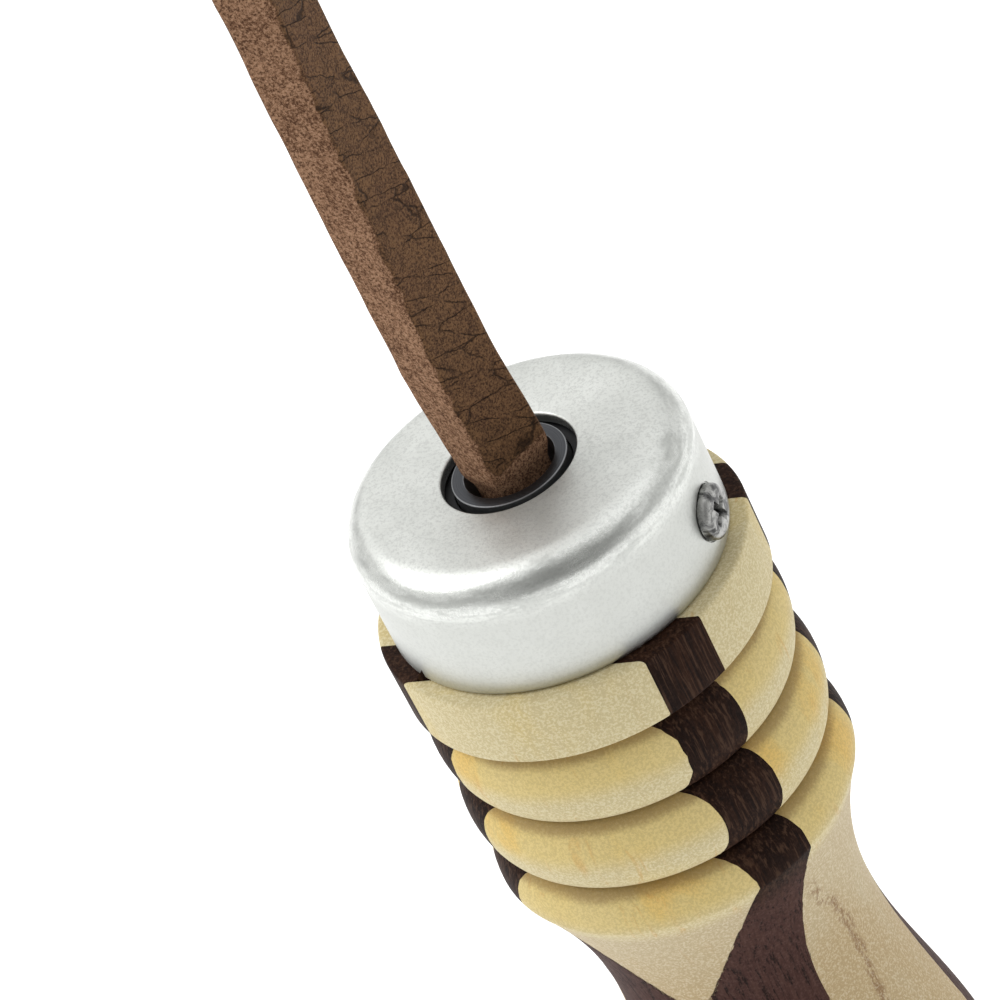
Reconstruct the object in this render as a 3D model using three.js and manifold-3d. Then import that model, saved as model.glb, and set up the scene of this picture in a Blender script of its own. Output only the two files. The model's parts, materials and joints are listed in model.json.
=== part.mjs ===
// Leather fly swatter: a turned, laminated wooden handle, an aluminium cap that holds a ball
// bearing, and a twisted leather strap that spins in the bearing and carries a punched flap.
// Millimetres, +Z along the handle's axis, origin at the centre of the butt's flat face.
// The front board of the lamination faces -Y, and so does the front of the flap.
import * as THREE from "three";
import { mergeVertices } from "three/addons/utils/BufferGeometryUtils.js";
import Module from "manifold-3d";

const wasm = await Module();
wasm.setup();

// ---- Driving dimensions: cap ----
const CAP_RADIUS = 19;
const CAP_HEIGHT = 14.8;
const CAP_WALL = 2.4;
const CAP_LIP = 1.2; // thickness of the lip that keeps the bearing in
const CAP_ROUNDING = 3.6; // radius of the rounded top edge
const LIP_COVER = 0.6; // how far the lip reaches in past the bearing's outer ring
const EDGE_BREAK = 0.4; // small chamfer on turned edges

// ---- Driving dimensions: turned wood ----
const WOOD_LENGTH = 165.2; // butt face to the shoulder that the cap stands on
const SHOULDER_WIDTH = 1.8; // how far the collar stands out past the cap
const COLLAR_HEIGHT = 8;
const COLLAR_GROOVE = 0.8; // gap between the collar and the first bead
const GROOVE_CUT = 2.45; // depths cut below the collar's radius
const WAIST_CUT = 5.3;
const NECK_CUT = 4.2;
const KNOB_CUT = 1.3;
const BELLY_CUT = -0.2; // the belly swells past the collar
const BEAD_CUTS = [0.3, 0, -0.1]; // crowns of the three beads, from the top
const LAST_BEAD_EDGE = 1.2; // rounding under the last bead, where the hollow of the waist begins
const BEAD_PITCH = 10.1;
const BUTT_FACE_RADIUS = 10;
const KNOB_HEIGHT = 14; // crown of the butt knob, above the butt face
const NECK_HEIGHT = 34;
const WAIST_DEPTH = 55.6; // below the shoulder
const BELLY_DEPTH = 93;
const STRIPE_THICKNESS = 5.85; // the two dark boards

// ---- Driving dimensions: bearing, 10 x 19 and 5 wide ----
const BEARING_BORE_RADIUS = 5;
const BEARING_OUTER_RADIUS = 9.5;
const RING_WALL = 1.4;
const RACE_DEPTH = 0.34;
const INNER_RING_RECESS = 0.25; // the inner ring is an extended one, nearly level with the cap
const BALL_COUNT = 11;
const SHIELD_THICKNESS = 0.3;
const SHIELD_RECESS = 0.35;
const SHIELD_GAP = 0.16; // between a shield and the cage
const CAGE_RIM = 0.5; // height of the cage above and below the balls
const CAGE_CLEARANCE = 0.25; // between the cage and each ring

// ---- Driving dimensions: strap, washer and pin ----
const STRAP_WIDTH = 8.1;
const STRAP_THICKNESS = 5.9;
const STRAP_EXPOSED = 204; // from the cap's top to the place where the strap flexes
const STRAP_TWIST_START = -32; // degrees: the way the grain face looks inside the bearing
const STRAP_TWIST_END = 90; // degrees: the way it looks at the flap
const TRIM_ABOVE_CAP = 1.2; // where the strap starts to narrow for the bearing
const TAIL_BELOW_PIN = 7;
const WASHER_THICKNESS = 0.8;
const PIN_RADIUS = 1.25;
const PIN_LENGTH = 12;

// ---- Driving dimensions: head ----
const FLEX_SLOPE = 16; // degrees, on each side of each strap end at the flexing place
const TIP_WIDTH = 20;
const TIP_LENGTH = 62;
const TIP_NECK_LENGTH = 6; // straight length before the tip widens
const TIP_SHOULDER_LENGTH = 12; // length over which it widens
const SKIVED_THICKNESS = 3; // the tip under the rivets
const FLAP_THICKNESS = 3.2;
const FLAP_LENGTH = 105;
const FLAP_NECK_WIDTH = 74;
const FLAP_END_WIDTH = 92;
const FLAP_CORNER = 14;
const FLAP_FROM_FLEX = 18; // from the flexing place to the flap's near edge
const HOLE_RADIUS = 3;
const HOLE_PITCH = 11;
const HOLE_EDGE_MARGIN = 7; // leather left between a hole and an edge
const RIVET_RADIUS = 1.5;
const RIVET_HEAD_RADIUS = 3.3;
const RIVET_HEAD_HEIGHT = 0.9;
const BURR_THICKNESS = 0.9;

// ---- Driving dimensions: screws ----
const SCREW_RADIUS = 1.5;
const SCREW_HEAD_RADIUS = 3;
const SCREW_HEAD_HEIGHT = 1.5;
const SCREW_BELOW_TENON_TOP = 3.1;
const SPOT_FACE_DEPTH = 0.3;
const SCREW_TIP_COVER = 1.5; // wood left between a screw's tip and the bore

// ---- Clearances ----
const FIT = 0.1; // between turned parts that slide together
const RUNNING = 0.08; // between balls and races, and balls and cage
const CUT_GAP = 0.25; // round screws, rivets and the pin
const BORE_GAP = 0.9; // round the retaining washer inside the handle

// ---- Sizes that follow ----
const CAP_TOP = WOOD_LENGTH + CAP_HEIGHT;
const COLLAR_RADIUS = CAP_RADIUS + SHOULDER_WIDTH;
const GROOVE_RADIUS = COLLAR_RADIUS - GROOVE_CUT;
const WAIST_RADIUS = COLLAR_RADIUS - WAIST_CUT;
const WAIST_Z = WOOD_LENGTH - WAIST_DEPTH;
const FRONT_GLUE_LINE = WAIST_RADIUS + 0.1; // the waist just parts the front board in two
const BACK_GLUE_LINE = WAIST_RADIUS - 1.9;
const SOCKET_RADIUS = CAP_RADIUS - CAP_WALL;
const INNER_RING_OUTSIDE = BEARING_BORE_RADIUS + RING_WALL;
const OUTER_RING_INSIDE = BEARING_OUTER_RADIUS - RING_WALL;
const BALL_CIRCLE = (BEARING_BORE_RADIUS + BEARING_OUTER_RADIUS) / 2;
const BALL_RADIUS = (OUTER_RING_INSIDE - INNER_RING_OUTSIDE) / 2 + RACE_DEPTH;
const BEARING_WIDTH =
  2 * (BALL_RADIUS + CAGE_RIM + SHIELD_GAP + SHIELD_THICKNESS + SHIELD_RECESS);
const SEAT_RADIUS = BEARING_OUTER_RADIUS + FIT;
const BEARING_TOP = CAP_TOP - CAP_LIP - FIT;
const BEARING_MIDDLE = BEARING_TOP - BEARING_WIDTH / 2;
const WEB_BOTTOM = BEARING_TOP - BEARING_WIDTH - FIT;
const TENON_TOP = WEB_BOTTOM - FIT;
const TENON_RADIUS = SOCKET_RADIUS - 2 * FIT;
const SCREW_Z = TENON_TOP - SCREW_BELOW_TENON_TOP;
const WASHER_OUTSIDE = INNER_RING_OUTSIDE - 2 * FIT;
const WASHER_HOLE = BEARING_BORE_RADIUS - 0.55;
const WASHER_TOP = BEARING_TOP - BEARING_WIDTH - FIT;
const WASHER_BOTTOM = WASHER_TOP - WASHER_THICKNESS;
const PIN_Z = WASHER_BOTTOM - PIN_RADIUS - FIT;
const TAIL_BOTTOM = PIN_Z - TAIL_BELOW_PIN;
const TAIL_HALF_DIAGONAL = WASHER_HOLE - CUT_GAP;
const BORE_RADIUS = Math.max(WASHER_OUTSIDE, PIN_LENGTH / 2) + BORE_GAP;
const BORE_BOTTOM = TAIL_BOTTOM - 1.5;
const SCREW_LENGTH = CAP_RADIUS - SPOT_FACE_DEPTH - BORE_RADIUS - SCREW_TIP_COVER;
const FLEX_Z = CAP_TOP + STRAP_EXPOSED;
const FLEX_GAP = 0.4;
const SKIVE_FACE = STRAP_THICKNESS / 2 - SKIVED_THICKNESS; // y of the face that the flap lies on
const FLAP_BOTTOM = FLEX_Z + FLAP_FROM_FLEX;
const FLAP_TOP = FLAP_BOTTOM + FLAP_LENGTH;
const TIP_TOP = FLEX_Z + TIP_LENGTH;
const RIVET_PLACES = [
  [-TIP_WIDTH / 4, FLAP_BOTTOM + 9],
  [TIP_WIDTH / 4, FLAP_BOTTOM + 9],
  [0, TIP_TOP - 12],
];

const SIDES = 32; // facets round the handle, the cap and the bearing
const RAD = Math.PI / 180;

// ---- Materials ----
const material = (color, roughness, metalness) =>
  new THREE.MeshStandardMaterial({ color, roughness, metalness });
const MAPLE = material("#dcc582", 0.55, 0);
const WALNUT = material("#4a2721", 0.5, 0);
const SATIN_ALUMINIUM = material("#cfd2cf", 0.35, 1);
const SCREW_STEEL = material("#8f9292", 0.3, 1);
const BEARING_STEEL = material("#55595c", 0.3, 1);
const BALL_STEEL = material("#b4b7ba", 0.15, 1);
const DARK_SHIELD = material("#1c1d1f", 0.5, 0.6);
const CAGE_STEEL = material("#8b8577", 0.4, 0.8);
const LEATHER = material("#5e3a26", 0.75, 0);
const COPPER = material("#b0683f", 0.35, 1);

// ---- Shape helpers ----

// A closed geometry as a solid that can be cut or joined.
function solid(geometry) {
  const bare = geometry.clone();
  bare.deleteAttribute("normal");
  bare.deleteAttribute("uv");
  const merged = mergeVertices(bare, 1e-4);
  return new wasm.Manifold(
    new wasm.Mesh({
      numProp: 3,
      vertProperties: new Float32Array(merged.attributes.position.array),
      triVerts: new Uint32Array(merged.index.array),
    }),
  );
}

// A solid as a geometry that a mesh can show.
function geometryOf(manifold) {
  const { vertProperties, triVerts } = manifold.getMesh();
  const geometry = new THREE.BufferGeometry();
  geometry.setAttribute("position", new THREE.BufferAttribute(vertProperties, 3));
  geometry.setIndex(new THREE.BufferAttribute(triVerts, 1));
  geometry.computeVertexNormals();
  return geometry;
}

// A profile of [radius, height] points turned about Z. It runs upwards on the outside.
function turned(profile, sides = SIDES) {
  const points = profile.map(([radius, height]) => new THREE.Vector2(radius, height));
  return new THREE.LatheGeometry(points, sides).rotateX(Math.PI / 2);
}

const closed = (profile) => [...profile, profile[0]];

function ring(inside, outside, bottom, top, sides = SIDES) {
  const section = [[outside, bottom], [outside, top], [inside, top], [inside, bottom]];
  return turned(closed(section), sides);
}

// Points of an elliptical arc from one angle to another, in degrees.
function arc(centre, radii, from, to, steps) {
  return Array.from({ length: steps + 1 }, (_, i) => {
    const angle = (from + ((to - from) * i) / steps) * RAD;
    return [centre[0] + radii[0] * Math.cos(angle), centre[1] + radii[1] * Math.sin(angle)];
  });
}

// Points of a smooth sweep between two places where the turned radius is level.
function sweep([radius0, height0], [radius1, height1], steps) {
  return Array.from({ length: steps }, (_, i) => {
    const share = (i + 1) / steps;
    const eased = (1 - Math.cos(Math.PI * share)) / 2;
    return [radius0 + (radius1 - radius0) * eased, height0 + (height1 - height0) * share];
  });
}

// Points of a hollow that leaves one place level and grows steeper up to another.
function hollow([radius0, height0], [radius1, height1], steps) {
  return Array.from({ length: steps }, (_, i) => {
    const share = (i + 1) / steps;
    return [radius0 + (radius1 - radius0) * share ** 2, height0 + (height1 - height0) * share];
  });
}

function block([x0, x1], [y0, y1], [z0, z1]) {
  return new THREE.BoxGeometry(x1 - x0, y1 - y0, z1 - z0)
    .translate((x0 + x1) / 2, (y0 + y1) / 2, (z0 + z1) / 2);
}

// An outline in the X-Z plane, made solid from y0 to y1.
function plate(shape, y0, y1) {
  return new THREE.ExtrudeGeometry(shape, { depth: y1 - y0, bevelEnabled: false, curveSegments: 6 })
    .rotateX(Math.PI / 2)
    .translate(0, y1, 0);
}

function mesh(name, geometry, look) {
  const made = new THREE.Mesh(geometry, look);
  made.name = name;
  return made;
}

// ---- Handle: five boards glued face to face and turned as one ----

function woodProfile() {
  const collarBottom = WOOD_LENGTH - COLLAR_HEIGHT;
  const groove = (index) => collarBottom - COLLAR_GROOVE - index * BEAD_PITCH;
  const crown = (index) => COLLAR_RADIUS - BEAD_CUTS[index];
  const bead = (index, from) =>
    arc(
      [GROOVE_RADIUS, groove(index) - BEAD_PITCH / 2],
      [crown(index) - GROOVE_RADIUS, BEAD_PITCH / 2],
      from,
      90,
      (90 - from) / 30,
    );
  const knob = [COLLAR_RADIUS - KNOB_CUT, KNOB_HEIGHT];
  const neck = [COLLAR_RADIUS - NECK_CUT, NECK_HEIGHT];
  const belly = [COLLAR_RADIUS - BELLY_CUT, WOOD_LENGTH - BELLY_DEPTH];
  const waist = [WAIST_RADIUS, WAIST_Z];
  const lastEdge = arc(
    [crown(2) - LAST_BEAD_EDGE, groove(2) - BEAD_PITCH / 2],
    [LAST_BEAD_EDGE, LAST_BEAD_EDGE],
    -27,
    0,
    2,
  );
  const rounding = [knob[0] - BUTT_FACE_RADIUS, KNOB_HEIGHT];
  return [
    [0, 0],
    ...arc([BUTT_FACE_RADIUS, KNOB_HEIGHT], rounding, -90, 0, 4),
    ...sweep(knob, neck, 3),
    ...sweep(neck, belly, 4),
    ...sweep(belly, waist, 4),
    ...hollow(waist, lastEdge[0], 5),
    ...lastEdge.slice(1),
    ...bead(2, 0).slice(1),
    ...bead(1, -90).slice(1),
    ...bead(0, -90).slice(1),
    [COLLAR_RADIUS - EDGE_BREAK, collarBottom],
    [COLLAR_RADIUS, collarBottom + EDGE_BREAK],
    [COLLAR_RADIUS, WOOD_LENGTH - EDGE_BREAK],
    [COLLAR_RADIUS - EDGE_BREAK, WOOD_LENGTH],
    [TENON_RADIUS, WOOD_LENGTH],
    [TENON_RADIUS, TENON_TOP],
    [0, TENON_TOP],
  ];
}

// A cylinder along X through both screw places, for cutting.
function crossBar(radius, from, to) {
  const bar = new THREE.CylinderGeometry(radius, radius, to - from, 12)
    .rotateZ(Math.PI / 2)
    .translate((from + to) / 2, 0, SCREW_Z);
  return solid(bar);
}

function turnedWood() {
  const bore = turned([
    [0, BORE_BOTTOM],
    [BORE_RADIUS, BORE_BOTTOM],
    [BORE_RADIUS, TENON_TOP + 1],
    [0, TENON_TOP + 1],
  ]);
  const pilotEnd = CAP_RADIUS - SCREW_LENGTH - 1;
  return solid(turned(woodProfile()))
    .subtract(solid(bore))
    .subtract(crossBar(SCREW_RADIUS + CUT_GAP, pilotEnd, CAP_RADIUS))
    .subtract(crossBar(SCREW_RADIUS + CUT_GAP, -CAP_RADIUS, -pilotEnd));
}

function boards() {
  const wood = turnedWood();
  const reach = COLLAR_RADIUS + 5;
  const whole = [-1, CAP_TOP];
  const board = (name, depth, height, look) => {
    const slab = solid(block([-reach, reach], depth, height));
    return mesh(name, geometryOf(wood.intersect(slab)), look);
  };
  const centreFront = STRIPE_THICKNESS - FRONT_GLUE_LINE;
  const centreBack = BACK_GLUE_LINE - STRIPE_THICKNESS;
  return [
    board("front_board_upper", [-reach, -FRONT_GLUE_LINE], [WAIST_Z, CAP_TOP], MAPLE),
    board("front_board_lower", [-reach, -FRONT_GLUE_LINE], [-1, WAIST_Z], MAPLE),
    board("front_dark_board", [-FRONT_GLUE_LINE, centreFront], whole, WALNUT),
    board("centre_board", [centreFront, centreBack], whole, MAPLE),
    board("back_dark_board", [centreBack, BACK_GLUE_LINE], whole, WALNUT),
    board("back_board", [BACK_GLUE_LINE, reach], whole, MAPLE),
  ];
}

// ---- Cap and its two screws ----

function bearingCap() {
  const holeRadius = OUTER_RING_INSIDE - LIP_COVER;
  const shell = closed([
    [SOCKET_RADIUS, WOOD_LENGTH],
    [CAP_RADIUS - EDGE_BREAK, WOOD_LENGTH],
    [CAP_RADIUS, WOOD_LENGTH + EDGE_BREAK],
    ...arc(
      [CAP_RADIUS - CAP_ROUNDING, CAP_TOP - CAP_ROUNDING],
      [CAP_ROUNDING, CAP_ROUNDING],
      0,
      90,
      4,
    ),
    [holeRadius + EDGE_BREAK, CAP_TOP],
    [holeRadius, CAP_TOP - EDGE_BREAK],
    [holeRadius, CAP_TOP - CAP_LIP],
    [SEAT_RADIUS, CAP_TOP - CAP_LIP],
    [SEAT_RADIUS, WEB_BOTTOM],
    [SOCKET_RADIUS, WEB_BOTTOM],
  ]);
  const spot = CAP_RADIUS - SPOT_FACE_DEPTH;
  const past = CAP_RADIUS + 1;
  const cut = solid(turned(shell))
    .subtract(crossBar(SCREW_RADIUS + CUT_GAP, -past, past))
    .subtract(crossBar(SCREW_HEAD_RADIUS + CUT_GAP, spot, past))
    .subtract(crossBar(SCREW_HEAD_RADIUS + CUT_GAP, -past, -spot));
  return mesh("bearing_cap", geometryOf(cut), SATIN_ALUMINIUM);
}

// A pan-head screw along +Z with the head's underside at z = 0.
function screwGeometry() {
  const headRounding = SCREW_HEAD_HEIGHT - EDGE_BREAK;
  const body = turned(
    [
      [0, -SCREW_LENGTH],
      [SCREW_RADIUS, -SCREW_LENGTH + SCREW_RADIUS],
      [SCREW_RADIUS, 0],
      [SCREW_HEAD_RADIUS, 0],
      ...arc([SCREW_HEAD_RADIUS - headRounding, EDGE_BREAK], [headRounding, headRounding], 0, 90, 4),
      [0, SCREW_HEAD_HEIGHT],
    ],
    16,
  );
  const slotLength = SCREW_HEAD_RADIUS * 0.6;
  const slotWidth = SCREW_HEAD_RADIUS * 0.15;
  const depth = [SCREW_HEAD_HEIGHT - 0.9, SCREW_HEAD_HEIGHT + 1];
  const across = solid(block([-slotLength, slotLength], [-slotWidth, slotWidth], depth));
  const along = solid(block([-slotWidth, slotWidth], [-slotLength, slotLength], depth));
  return geometryOf(solid(body).subtract(across).subtract(along));
}

function capScrews() {
  const geometry = screwGeometry();
  return [["cap_screw_right", 1], ["cap_screw_left", -1]].map(([name, side]) => {
    const screw = mesh(name, geometry, SCREW_STEEL);
    screw.rotation.y = (side * Math.PI) / 2;
    screw.position.set(side * (CAP_RADIUS - SPOT_FACE_DEPTH + FIT / 2), 0, SCREW_Z);
    return screw;
  });
}

// ---- Ball bearing ----

// Half a race: the round groove that the balls run in, as seen from one side of the ball circle.
const race = (from, to) =>
  arc([BALL_CIRCLE, BEARING_MIDDLE], [BALL_RADIUS + RUNNING, BALL_RADIUS + RUNNING], from, to, 5);

// The angle at which the groove's edge meets the ring's face towards the balls.
const raceEdge = Math.acos((BALL_RADIUS - RACE_DEPTH) / (BALL_RADIUS + RUNNING)) / RAD;

function innerRing() {
  const low = BEARING_TOP - BEARING_WIDTH;
  const high = CAP_TOP - INNER_RING_RECESS;
  const section = closed([
    [BEARING_BORE_RADIUS, low],
    [INNER_RING_OUTSIDE - EDGE_BREAK, low],
    [INNER_RING_OUTSIDE, low + EDGE_BREAK],
    ...race(180 + raceEdge, 180 - raceEdge),
    [INNER_RING_OUTSIDE, high - EDGE_BREAK],
    [INNER_RING_OUTSIDE - EDGE_BREAK, high],
    [BEARING_BORE_RADIUS, high],
  ]);
  return mesh("bearing_inner_ring", turned(section), BEARING_STEEL);
}

function outerRing() {
  const low = BEARING_TOP - BEARING_WIDTH;
  const step = SHIELD_RECESS + SHIELD_THICKNESS;
  const stepRadius = OUTER_RING_INSIDE + 0.2;
  const section = closed([
    [stepRadius, low],
    [BEARING_OUTER_RADIUS, low],
    [BEARING_OUTER_RADIUS, BEARING_TOP],
    [stepRadius, BEARING_TOP],
    [stepRadius, BEARING_TOP - step],
    [OUTER_RING_INSIDE, BEARING_TOP - step],
    ...race(raceEdge, -raceEdge),
    [OUTER_RING_INSIDE, low + step],
    [stepRadius, low + step],
  ]);
  return mesh("bearing_outer_ring", turned(section), BEARING_STEEL);
}

function shields() {
  const inside = INNER_RING_OUTSIDE + 0.15;
  const outside = OUTER_RING_INSIDE + 0.15;
  const upperBottom = BEARING_TOP - SHIELD_RECESS - SHIELD_THICKNESS;
  const lowerBottom = BEARING_TOP - BEARING_WIDTH + SHIELD_RECESS;
  return [["upper_shield", upperBottom], ["lower_shield", lowerBottom]].map(([name, bottom]) =>
    mesh(name, ring(inside, outside, bottom, bottom + SHIELD_THICKNESS), DARK_SHIELD),
  );
}

// Ball or pocket at one of the evenly spaced places on the ball circle.
function ballAt(index, radius) {
  return new THREE.SphereGeometry(radius, 8, 6)
    .translate(BALL_CIRCLE, 0, BEARING_MIDDLE)
    .rotateZ((2 * Math.PI * index) / BALL_COUNT);
}

function ballCage() {
  const halfHeight = BALL_RADIUS + CAGE_RIM;
  const blank = ring(
    INNER_RING_OUTSIDE + CAGE_CLEARANCE,
    OUTER_RING_INSIDE - CAGE_CLEARANCE,
    BEARING_MIDDLE - halfHeight,
    BEARING_MIDDLE + halfHeight,
    BALL_COUNT * 3,
  );
  let cage = solid(blank);
  for (let i = 0; i < BALL_COUNT; i += 1) {
    cage = cage.subtract(solid(ballAt(i, BALL_RADIUS + RUNNING)));
  }
  return mesh("ball_cage", geometryOf(cage), CAGE_STEEL);
}

function balls() {
  return Array.from({ length: BALL_COUNT }, (_, i) =>
    mesh(`ball_${i + 1}`, ballAt(i, BALL_RADIUS), BALL_STEEL),
  );
}

// ---- Strap, and the washer and pin that hold it in the bearing ----

// The way the strap's grain face looks at a height, in radians from +X.
function twistAt(z) {
  const share = THREE.MathUtils.clamp((z - CAP_TOP + 10) / (STRAP_EXPOSED - 4), 0, 1);
  return (STRAP_TWIST_START + (STRAP_TWIST_END - STRAP_TWIST_START) * share ** 1.25) * RAD;
}

// The share of its full section that the strap keeps at a height.
function trimAt(z) {
  const tailShare = TAIL_HALF_DIAGONAL / Math.hypot(STRAP_WIDTH / 2, STRAP_THICKNESS / 2);
  const share = THREE.MathUtils.smoothstep(z, BEARING_TOP, CAP_TOP + TRIM_ABOVE_CAP);
  return tailShare + (1 - tailShare) * share;
}

function strapGeometry() {
  const top = FLEX_Z - FLEX_GAP / 2;
  const start = CAP_TOP + TRIM_ABOVE_CAP;
  const spans = 22;
  const levels = [TAIL_BOTTOM, BEARING_TOP, (BEARING_TOP + start) / 2];
  for (let i = 0; i <= spans; i += 1) levels.push(start + ((top - start) * i) / spans);
  const last = levels.length - 1;
  const strap = new THREE.BoxGeometry(STRAP_THICKNESS, STRAP_WIDTH, last, 2, 1, last);
  const at = strap.attributes.position;
  for (let i = 0; i < at.count; i += 1) {
    const level = Math.round(at.getZ(i) + last / 2);
    const z = levels[level];
    const size = trimAt(z);
    const drop = level === last ? Math.abs(at.getX(i)) * Math.tan(FLEX_SLOPE * RAD) : 0;
    const turn = twistAt(z);
    const x = at.getX(i) * size;
    const y = at.getY(i) * size;
    at.setXYZ(
      i,
      x * Math.cos(turn) - y * Math.sin(turn),
      x * Math.sin(turn) + y * Math.cos(turn),
      z - drop,
    );
  }
  return strap;
}

// The pin lies along the tail's thickness, so it turns with the strap.
function placeAcrossTail(geometry) {
  return geometry.rotateZ(-Math.PI / 2).rotateZ(twistAt(TAIL_BOTTOM)).translate(0, 0, PIN_Z);
}

function strapParts() {
  const pin = new THREE.CylinderGeometry(PIN_RADIUS, PIN_RADIUS, PIN_LENGTH, 16);
  const pinHole = new THREE.CylinderGeometry(
    PIN_RADIUS + CUT_GAP,
    PIN_RADIUS + CUT_GAP,
    PIN_LENGTH,
    16,
  );
  const drilled = solid(strapGeometry()).subtract(solid(placeAcrossTail(pinHole)));
  const washer = ring(WASHER_HOLE, WASHER_OUTSIDE, WASHER_BOTTOM, WASHER_TOP);
  return [
    mesh("leather_strap", geometryOf(drilled), LEATHER),
    mesh("strap_washer", washer, SCREW_STEEL),
    mesh("strap_pin", placeAcrossTail(pin), SCREW_STEEL),
  ];
}

// ---- Head: the strap's widened tip, the flap and three rivets ----

// The strap tip seen from the side, as [y, z] points: a ridge at the flexing place, then a skive.
function tipSide() {
  const half = STRAP_THICKNESS / 2;
  const ridge = FLEX_Z + FLEX_GAP / 2;
  const shoulder = ridge + half * Math.tan(FLEX_SLOPE * RAD);
  const skiveEnd = FLAP_BOTTOM - 2;
  const side = new THREE.Shape(
    [
      [0, ridge],
      [half, shoulder],
      [half, TIP_TOP],
      [SKIVE_FACE, TIP_TOP],
      [SKIVE_FACE, skiveEnd],
      [-half, shoulder + 2],
      [-half, shoulder],
    ].map(([y, z]) => new THREE.Vector2(y, z)),
  );
  // The outline's first axis becomes Y, its second Z, and it is made solid along X.
  return new THREE.ExtrudeGeometry(side, { depth: TIP_WIDTH + 2, bevelEnabled: false })
    .rotateX(Math.PI / 2)
    .rotateZ(Math.PI / 2)
    .translate(-TIP_WIDTH / 2 - 1, 0, 0);
}

function tipOutline() {
  const neck = STRAP_WIDTH / 2;
  const half = TIP_WIDTH / 2;
  const widenFrom = FLEX_Z + TIP_NECK_LENGTH;
  const widenTo = widenFrom + TIP_SHOULDER_LENGTH;
  const middle = (widenFrom + widenTo) / 2;
  const outline = new THREE.Shape();
  outline.moveTo(-neck, FLEX_Z);
  outline.lineTo(neck, FLEX_Z);
  outline.lineTo(neck, widenFrom);
  outline.bezierCurveTo(neck, middle, half, middle, half, widenTo);
  outline.lineTo(half, TIP_TOP - half);
  outline.absarc(0, TIP_TOP - half, half, 0, Math.PI, false);
  outline.lineTo(-half, widenTo);
  outline.bezierCurveTo(-half, middle, -neck, middle, -neck, widenFrom);
  return outline;
}

function rivetHoles() {
  return RIVET_PLACES.map(([x, z]) =>
    solid(
      new THREE.CylinderGeometry(
        RIVET_RADIUS + CUT_GAP,
        RIVET_RADIUS + CUT_GAP,
        4 * STRAP_THICKNESS,
        12,
      ).translate(x, 0, z),
    ),
  );
}

function strapTip() {
  const reach = STRAP_THICKNESS;
  const blank = solid(plate(tipOutline(), -reach, reach)).intersect(solid(tipSide()));
  const drilled = rivetHoles().reduce((left, hole) => left.subtract(hole), blank);
  return mesh("strap_tip", geometryOf(drilled), LEATHER);
}

const flapHalfWidth = (z) =>
  THREE.MathUtils.mapLinear(z, FLAP_BOTTOM, FLAP_TOP, FLAP_NECK_WIDTH, FLAP_END_WIDTH) / 2;

// Whether a place on the flap keeps a margin to the flap's edges and rounded corners.
function wellInsideFlap(x, z, margin) {
  const fromSide = flapHalfWidth(z) - Math.abs(x);
  const fromEnd = Math.min(z - FLAP_BOTTOM, FLAP_TOP - z);
  if (fromSide < FLAP_CORNER && fromEnd < FLAP_CORNER) {
    return Math.hypot(FLAP_CORNER - fromSide, FLAP_CORNER - fromEnd) <= FLAP_CORNER - margin;
  }
  return Math.min(fromSide, fromEnd) >= margin;
}

const overTip = (x, z, margin) => Math.abs(x) < TIP_WIDTH / 2 + margin && z < TIP_TOP + margin;

// Centres of the punched air holes: staggered rows, clear of the edges and of the strap tip.
function airHoles() {
  const margin = HOLE_RADIUS + HOLE_EDGE_MARGIN;
  const tipMargin = HOLE_RADIUS + 2;
  const rowPitch = (HOLE_PITCH * Math.sqrt(3)) / 2;
  const places = [];
  for (let row = 0; FLAP_TOP - margin - row * rowPitch > FLAP_BOTTOM; row += 1) {
    const z = FLAP_TOP - margin - row * rowPitch;
    const shift = row % 2 ? HOLE_PITCH / 2 : 0;
    const most = Math.ceil(FLAP_END_WIDTH / 2 / HOLE_PITCH);
    for (let column = -most; column <= most; column += 1) {
      const x = column * HOLE_PITCH + shift;
      if (wellInsideFlap(x, z, margin) && !overTip(x, z, tipMargin)) places.push([x, z]);
    }
  }
  return places;
}

function flapOutline() {
  const near = FLAP_NECK_WIDTH / 2;
  const far = FLAP_END_WIDTH / 2;
  const corners = [
    [-near, FLAP_BOTTOM],
    [near, FLAP_BOTTOM],
    [far, FLAP_TOP],
    [-far, FLAP_TOP],
  ].map(([x, z]) => new THREE.Vector2(x, z));
  const outline = new THREE.Shape();
  corners.forEach((corner, i) => {
    const towards = (other) =>
      corner.clone().add(other.clone().sub(corner).setLength(FLAP_CORNER));
    const arrive = towards(corners[(i + 3) % 4]);
    const leave = towards(corners[(i + 1) % 4]);
    if (i === 0) outline.moveTo(arrive.x, arrive.y);
    else outline.lineTo(arrive.x, arrive.y);
    outline.quadraticCurveTo(corner.x, corner.y, leave.x, leave.y);
  });
  return outline;
}

function flap() {
  const outline = flapOutline();
  outline.holes = airHoles().map(([x, z]) => {
    const rim = arc([x, z], [HOLE_RADIUS, HOLE_RADIUS], 0, 315, 7);
    return new THREE.Path(rim.map(([px, pz]) => new THREE.Vector2(px, pz)));
  });
  const sheet = solid(plate(outline, SKIVE_FACE - FLAP_THICKNESS, SKIVE_FACE));
  const drilled = rivetHoles().reduce((left, hole) => left.subtract(hole), sheet);
  return mesh("leather_flap", geometryOf(drilled), LEATHER);
}

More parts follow.
